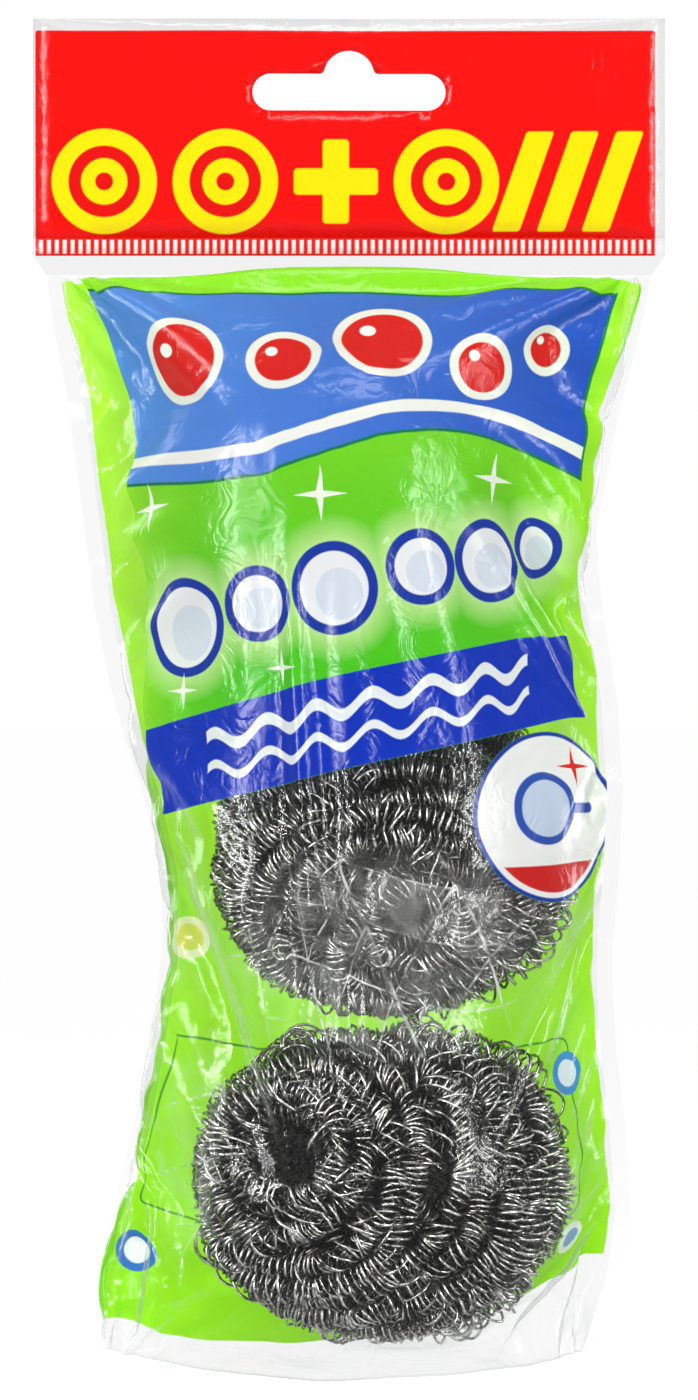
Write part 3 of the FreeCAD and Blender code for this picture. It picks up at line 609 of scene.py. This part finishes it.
# Front artwork: green ground with a blue panel of bubbles, a slanted banner and a round badge;
# the ink stops at the banner, and the film below is a clear window
def front_artwork(tree, place):
    parts = add(tree, "SeparateXYZ", {0: place})
    across, down = parts.outputs["X"], parts.outputs["Y"]
    # Green ground, deeper further down and yellower at both sides
    fade = add(tree, "MapRange", {"Value": down, "From Min": 0.0, "From Max": 85.0})
    side = add(tree, "Math", {0: across}, operation="ABSOLUTE")
    side = add(tree, "Math", {0: side, 1: 52.0}, operation="DIVIDE")
    side = add(tree, "Math", {0: side, 1: 5.0}, operation="POWER")
    ground = add(tree, "MixRGB", {
        "Fac": fade, "Color1": linear("#96E82A"), "Color2": linear("#4CCB1C")})
    ground = add(tree, "MixRGB", {"Fac": side, "Color1": ground, "Color2": linear("#A4EA2E")})
    # Blue panel with a curved brim, a rolling lower edge and a line of foam along that edge
    roll = add(tree, "Math", {0: across, 1: 0.075}, operation="MULTIPLY")
    roll = add(tree, "Math", {0: roll}, operation="SINE")
    roll = add(tree, "Math", {0: roll, 1: 3.2}, operation="MULTIPLY")
    lower = add(tree, "Math", {0: above_line(tree, place, 45, 0.05), 1: roll}, operation="ADD")
    brim = add(tree, "Math", {0: across, 1: across}, operation="MULTIPLY")
    brim = add(tree, "Math", {0: brim, 1: -0.0023, 2: 9.8}, operation="MULTIPLY_ADD")
    upper = add(tree, "Math", {0: brim, 1: down}, operation="SUBTRACT")
    panel = round_box(tree, place, 0, 20, 96, 62, 4)
    panel = add(tree, "Math", {0: panel, 1: lower}, operation="MAXIMUM")
    panel = add(tree, "Math", {0: panel, 1: upper}, operation="MAXIMUM")
    foam = add(tree, "Math", {0: lower, 1: 4.6}, operation="ADD")
    foam = add(tree, "Math", {0: foam}, operation="ABSOLUTE")
    foam = add(tree, "Math", {0: foam, 1: 1.2}, operation="SUBTRACT")
    foam = add(tree, "Math", {0: foam, 1: panel}, operation="MAXIMUM")
    deep = add(tree, "MapRange", {"Value": across, "From Min": -50.0, "From Max": 50.0})
    panel_blue = add(tree, "MixRGB", {
        "Fac": deep, "Color1": linear("#5A92E8"), "Color2": linear("#2350C8")})
    edge_ink = add(tree, "Math", {0: panel, 1: 0.6}, operation="SUBTRACT")
    # A row of pale bubbles on a light halo
    bubbles = ((-37, 76, 9.5), (-20, 73, 7), (-4, 71, 8.5), (13, 67, 7), (28, 65, 8), (42, 60, 6))
    halo = disc(tree, place, *bubbles[0])
    for bubble in bubbles[1:]:
        halo = add(tree, "Math", {0: halo, 1: disc(tree, place, *bubble)}, operation="MINIMUM")
    halo = add(tree, "MapRange", {"Value": halo, "From Min": 5.0, "From Max": 0.0, "To Max": 0.75})
    ground = add(tree, "MixRGB", {"Fac": halo, "Color1": ground, "Color2": linear("#D6F8A6")})
    layers = [(edge_ink, linear("#0B7A4E")), (panel, panel_blue), (foam, linear("#F7F7F2"))]
    for x, y, radius in ((-32, 24, 9), (-12, 27, 7), (6, 23, 9), (25, 27, 6.5), (38, 20, 5)):
        layers.append((disc(tree, place, x, y, radius), linear("#F4F4F0")))
        layers.append((disc(tree, place, x, y, radius - 1.7), linear("#E0201B")))
        glint = disc(tree, place, x - radius * 0.3, y - radius * 0.3, radius * 0.16)
        layers.append((glint, linear("#FFFFFF")))
    for x, y, radius in bubbles:
        layers.append((disc(tree, place, x, y, radius), linear("#173AA8")))
        layers.append((disc(tree, place, x, y, radius - 1.8), linear("#F3F5F8")))
        shade = disc(tree, place, x + radius * 0.12, y + radius * 0.12, radius * 0.55)
        layers.append((shade, linear("#DDE6F2")))
    for x, y, reach in ((-43, 52, 5), (-6, 54, 5), (29, 49, 5), (-38, 88, 3.5), (-16, 85, 3.5)):
        layers.append((sparkle(tree, place, x, y, reach), linear("#FBFFF0")))
    # The slanted banner, with two waves on it
    slope, banner_top, banner_end = 0.19, 86.0, 103
    ended = above_line(tree, place, banner_end, slope)
    banner = above_line(tree, place, 0, slope)
    banner = add(tree, "Math", {0: banner_top, 1: banner}, operation="SUBTRACT")
    banner = add(tree, "Math", {0: ended, 1: banner}, operation="MAXIMUM")
    layers.append((banner, linear("#0A34BE")))
    for start, thick in ((91.8, 1.1), (97.6, 0.8)):
        wave_line = above_line(tree, place, start, slope)
        wave = add(tree, "Math", {0: across, 1: 0.55}, operation="MULTIPLY")
        wave = add(tree, "Math", {0: wave}, operation="SINE")
        wave = add(tree, "Math", {0: wave, 1: 1.5, 2: wave_line}, operation="MULTIPLY_ADD")
        wave = add(tree, "Math", {0: wave}, operation="ABSOLUTE")
        wave = add(tree, "Math", {0: wave, 1: thick}, operation="SUBTRACT")
        ends = round_box(tree, place, 2, 94, 70, 60, 3)
        wave = add(tree, "Math", {0: wave, 1: ends}, operation="MAXIMUM")
        layers.append((wave, linear("#EEF3F6")))
    printed = round_box(tree, place, 2, 60, 100, 118.5, 2)
    printed = add(tree, "Math", {0: ended, 1: printed}, operation="MAXIMUM")
    # The round badge, wider than tall, with a red foot and a pan
    squeezed = add(tree, "VectorMath", {0: place, 1: (0.86, 1, 0)}, operation="MULTIPLY")
    badge_x, badge_y = 34.5, 113
    badge = disc(tree, squeezed, badge_x, badge_y, 16)
    foot = add(tree, "Math", {0: 122.0, 1: down}, operation="SUBTRACT")
    foot = add(tree, "Math", {
        0: disc(tree, squeezed, badge_x, badge_y, 14.2), 1: foot}, operation="MAXIMUM")
    layers += [
        (badge, linear("#173AA8")),
        (disc(tree, squeezed, badge_x, badge_y, 15.2), linear("#F6F7F5")),
        (foot, linear("#D3201C")),
        (disc(tree, squeezed, 32.5, 111.5, 6.8), linear("#2B55B5")),
        (disc(tree, squeezed, 32.5, 111.5, 5.3), linear("#C9D8EE")),
        (round_box(tree, squeezed, 42.6, 111.5, 8, 2.0, 0.9), linear("#2B55B5")),
        (sparkle(tree, squeezed, 40, 103.5, 4), linear("#E0201B")),
    ]
    printed = add(tree, "Math", {0: printed, 1: badge}, operation="MINIMUM")
    return paint(tree, ground, layers), inked(tree, printed)


# Back artwork: lime with a thin dark frame and four small round signs; its lower edge slants
# like the banner
def back_artwork(tree, place):
    parts = add(tree, "SeparateXYZ", {0: place})
    fade = add(tree, "MapRange", {"Value": parts.outputs["Y"], "From Min": 0.0, "From Max": 210.0})
    ground = add(tree, "MixRGB", {
        "Fac": fade, "Color1": linear("#ADEE3E"), "Color2": linear("#96E814")})
    frame_line = round_box(tree, place, -1, 175.5, 98, 36, 4)
    frame_line = add(tree, "Math", {0: frame_line}, operation="ABSOLUTE")
    frame_line = add(tree, "Math", {0: frame_line, 1: 0.2}, operation="SUBTRACT")
    layers = [(frame_line, linear("#2F8A1C"))]
    for x, y, radius, rim_ink, ink in (
        (-47, 138, 4.6, "#E9F4C0", "#D9E05A"), (-46, 204, 4.4, "#2F74C8", "#F4F8FA"),
        (47, 166, 4.2, "#2C8FD0", "#DCEFF4"), (45, 199, 3.6, "#EDF3E6", "#5C9AD2"),
    ):
        layers.append((disc(tree, place, x, y, radius), linear(rim_ink)))
        layers.append((disc(tree, place, x, y, radius * 0.62), linear(ink)))
    printed = add(tree, "Math", {
        0: above_line(tree, place, 214, 0.15),
        1: round_box(tree, place, 0, 110, 112, 217, 2)}, operation="MAXIMUM")
    return paint(tree, ground, layers), inked(tree, printed)


clear_film = film_finish("clear polypropylene film", None, None, 0)
front_print = film_finish("printed polypropylene film front", front_artwork, web_place, 0.25)
back_print = film_finish("printed polypropylene film back", back_artwork, web_place, 0.5)

pouch_mesh.vertices.foreach_set("co", (filled * mm).ravel())
pouch = bpy.data.objects.new("pouch", pouch_mesh)
scene.collection.objects.link(pouch)
finer = pouch.modifiers.new("finer", "SUBSURF")
finer.levels = finer.render_levels = 1
bpy.context.view_layer.update()
fine_pouch = pouch.evaluated_get(bpy.context.evaluated_depsgraph_get())
fine_mesh = bpy.data.meshes.new_from_object(fine_pouch)
bpy.data.objects.remove(pouch)

# Where the slack film has been crumpled it stands in flat facets between straight folds: over the
# waist of the middle scrubber, beside the bottom one, at the upper right and along the edges
count = len(fine_mesh.vertices)
corner_vert = np.empty(len(fine_mesh.loops), int)
corner_web = np.empty(len(fine_mesh.loops) * 2)
fine_mesh.loops.foreach_get("vertex_index", corner_vert)
fine_mesh.uv_layers["film"].data.foreach_get("uv", corner_web)
web = np.zeros((count, 2))
web[corner_vert] = corner_web.reshape(-1, 2)
is_back = np.zeros(count)
for face in fine_mesh.polygons:
    if face.material_index == 1:
        is_back[list(face.vertices)] = 1
crumple = np.zeros(count)
for x, y, wide, tall, amount, back in (
    (3, 137, 36, 19, 1.0, 0), (-39, 178, 9, 22, 0.75, 0), (46, 120, 10, 90, 0.5, 0),
    (38, 18, 17, 18, 0.55, 0), (-48, 100, 9, 90, 0.35, 0), (-30, 10, 24, 9, 0.5, 0),
    (15, 216, 40, 11, 0.35, 0), (0, 140, 48, 26, 0.6, 1), (0, 214, 44, 12, 0.4, 1),
):
    far = np.hypot((web[:, 0] - x) / wide, (web[:, 1] - y) / tall)
    crumple = np.maximum(crumple, amount * np.clip((1.25 - far) / 0.5, 0, 1) * (is_back == back))
# It fades out towards the welds, the neck and the fold
for room_left, fade in (
    (film_half - weld - np.abs(web[:, 0]), 5), (web[:, 1], 6), (film_drop - 2 - web[:, 1], 6),
):
    crumple *= np.clip(room_left / fade, 0, 1)
# Three families of nearly straight folds, by direction, spacing and sway
creases = np.stack([
    (web[:, 0] * math.cos(turn) + web[:, 1] * math.sin(turn)) / spacing
    + sway * np.sin(web[:, 1] / 21 + turn) + sway * np.sin(web[:, 0] / 14 + 2 * turn)
    for turn, spacing, sway in ((0.35, 13.0, 0.45), (1.55, 10.5, 0.5), (2.65, 12.0, 0.4))], 1)
facet_rise = 1.3 * mm
zigzag = np.abs((creases + 1) % 2 - 1).sum(1) - 0.9
normal = np.empty(count * 3)
place = np.empty(count * 3)
fine_mesh.vertices.foreach_get("normal", normal)
fine_mesh.vertices.foreach_get("co", place)
place = place.reshape(-1, 3) + normal.reshape(-1, 3) * (crumple * zigzag * facet_rise)[:, None]
fine_mesh.vertices.foreach_set("co", place.ravel())
crease_data = fine_mesh.attributes.new("creases", "FLOAT_VECTOR", "POINT")
crease_data.data.foreach_set("vector", creases.ravel())
crumple_data = fine_mesh.attributes.new("crumple", "FLOAT", "POINT")
crumple_data.data.foreach_set("value", crumple)

for index, (name, finish, slot) in enumerate((
    ("bag_front_film", front_print, "front_film"),
    ("bag_back_film", back_print, "back_film"),
    ("left_side_weld", clear_film, "clear_film"),
    ("right_side_weld", clear_film, "clear_film"),
    ("bottom_fold", clear_film, "clear_film"),
)):
    bm = bmesh.new()
    bm.from_mesh(fine_mesh)
    others = [face for face in bm.faces if face.material_index != index]
    bmesh.ops.delete(bm, geom=others, context="FACES")
    for face in bm.faces:
        face.material_index = 0
    piece = new_piece(f"{name}_sheet", mesh_from(bm, f"{name}_sheet"), finish)
    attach(piece, "bag")
    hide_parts(name)


# Neck: the strip of clear double film between the seal and the bag, the fold that the bag swings on.
neck_tall = 3.7
bm = bmesh.new()
for side in (-1, 1):
    made = bmesh.ops.create_grid(bm, x_segments=60, y_segments=6, size=0.5)["verts"]
    for vert in made:
        part = vert.co.y + 0.5
        half = outline[0, 2] + (film_half - outline[0, 2]) * part
        x = vert.co.x * 2 * half
        ease = (1 - part) * part * 4
        y = side * 0.12 + ease * 0.35 * math.sin(x / 8)
        vert.co = Vector((x, y, neck_z + neck_tall * part)) * mm
    if side > 0:
        made_faces = {face for vert in made for face in vert.link_faces}
        bmesh.ops.reverse_faces(bm, faces=list(made_faces))
neck = new_piece("neck_strip_film", mesh_from(bm, "neck_strip_film"), clear_film)
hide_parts("neck_strip")
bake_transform(neck)


# Seal: both plies melted together under a hot ribbed bar, which leaves pale upright ribs.
# Above it the header: two plies of the same film printed red, punched with the hang slot.
def rippled(node, name):
    # The CAD sheet, cut into small squares so that it can ripple, and thinned towards its middle
    bm = bmesh.new()
    bm.from_mesh(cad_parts[node].data)
    bmesh.ops.remove_doubles(bm, verts=bm.verts[:], dist=1e-6)
    low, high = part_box(node)
    square = 4 * mm
    for axis in (0, 2):
        lines = int((high[axis] - low[axis]) / square)
        for line in range(1, lines):
            spot, facing = Vector(), Vector()
            spot[axis] = low[axis] + (high[axis] - low[axis]) * line / lines
            facing[axis] = 1
            bmesh.ops.bisect_plane(
                bm, geom=bm.verts[:] + bm.edges[:] + bm.faces[:], plane_co=spot, plane_no=facing)
    for vert in bm.verts:
        x, z = vert.co.x / mm, vert.co.z / mm
        rise = min(1.0, max(0.0, (z - neck_z - neck_tall) / 45))  # none at the seal's lower edge
        wave = 0.55 * math.sin(x / 19 + 0.6) + 0.35 * math.sin(x / 7.5 + z / 9)
        wave += 1.1 * math.exp(-((x - 54) / 9) ** 2) * math.sin(z / 4.5 + 0.8)
        vert.co.y = vert.co.y * 0.5 + rise * wave * mm
    return mesh_from(bm, name)


def header_place(tree, coordinates):
    parts = add(tree, "SeparateXYZ", {0: coordinates.outputs["Object"]})
    turned = add(tree, "CombineXYZ", {0: parts.outputs["X"], 1: parts.outputs["Z"], 2: 0.0})
    return add(tree, "VectorMath", {0: turned, 1: (1 / mm, 1 / mm, 0)}, operation="MULTIPLY")


def red_area(tree, place):
    # The red runs over both plies and the seal, and leaves a clear edge at the sides
    return inked(tree, round_box(tree, place, -0.7, -20, 117.6, 63.2, 0.4))


# Header artwork: flat red with a row of yellow ring signs, a plus and slanted stripes
def header_artwork(tree, place):
    ground = add(tree, "TexNoise", {"Vector": place, "Scale": 1 / 25, "Detail": 1.0})
    ground = add(tree, "MixRGB", {
        "Fac": ground, "Color1": linear("#FF0602"), "Color2": linear("#F40200")})
    row, yellow, red = -17, linear("#FFE800"), linear("#E80705")
    layers = []
    for x in (-46.5, -23.5, 18.5):
        for radius, ink in ((10, yellow), (6.8, red), (4.4, yellow), (1.7, red)):
            layers.append((disc(tree, place, x, row, radius), ink))
    for wide, tall in ((16, 5), (5, 16)):
        layers.append((round_box(tree, place, -2.5, row, wide, tall, 0.8), yellow))
    slanted = add(tree, "VectorMath", {0: place, 1: (1, -0.35, 0)}, operation="DOT_PRODUCT")
    parts = add(tree, "SeparateXYZ", {0: place})
    slanted = add(tree, "CombineXYZ", {0: slanted.outputs["Value"], 1: parts.outputs["Y"], 2: 0.0})
    for x in (39, 47.5, 56):
        layers.append((round_box(tree, slanted, x, row, 5.2, 19, 0.6), yellow))
    return paint(tree, ground, layers), red_area(tree, place)


# Seal artwork: the header's red below the plies, with the ribs pressed pale
def seal_artwork(tree, place):
    pitch = 1.5
    parts = add(tree, "SeparateXYZ", {0: place})
    # How far across the nearest rib a point lies, in pitches
    rib = add(tree, "Math", {0: parts.outputs["X"], 1: 1 / pitch}, operation="MULTIPLY")
    rib = add(tree, "Math", {0: rib, 1: 0.5}, operation="ADD")
    rib = add(tree, "Math", {0: rib}, operation="FRACT")
    rib = add(tree, "Math", {0: rib, 1: 0.5}, operation="SUBTRACT")
    rib = add(tree, "Math", {0: rib}, operation="ABSOLUTE")
    rib = add(tree, "Math", {0: rib, 1: 0.24}, operation="SUBTRACT")
    rib = add(tree, "Math", {0: rib, 1: pitch}, operation="MULTIPLY")
    band = round_box(tree, place, 0, -29.4, 119, 2.6, 0.3)
    rib = add(tree, "Math", {0: rib, 1: band}, operation="MAXIMUM")
    colour = paint(tree, linear("#E8120C"), [(rib, linear("#FBF3F0"))])
    return colour, red_area(tree, place)


header_print = film_finish("printed polypropylene film header", header_artwork, header_place, 0.15)
seal_print = film_finish("ribbed film seal", seal_artwork, header_place, 0.15)
for node, finish, slot in (
    ("header_seal", seal_print, "seal_film"),
    ("header_front_ply", header_print, "red_film"),
    ("header_back_ply", header_print, "red_film"),
):
    piece = new_piece(f"{node}_film", rippled(node, f"{node}_film"), finish)
    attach(piece, "header")
    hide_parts(node)
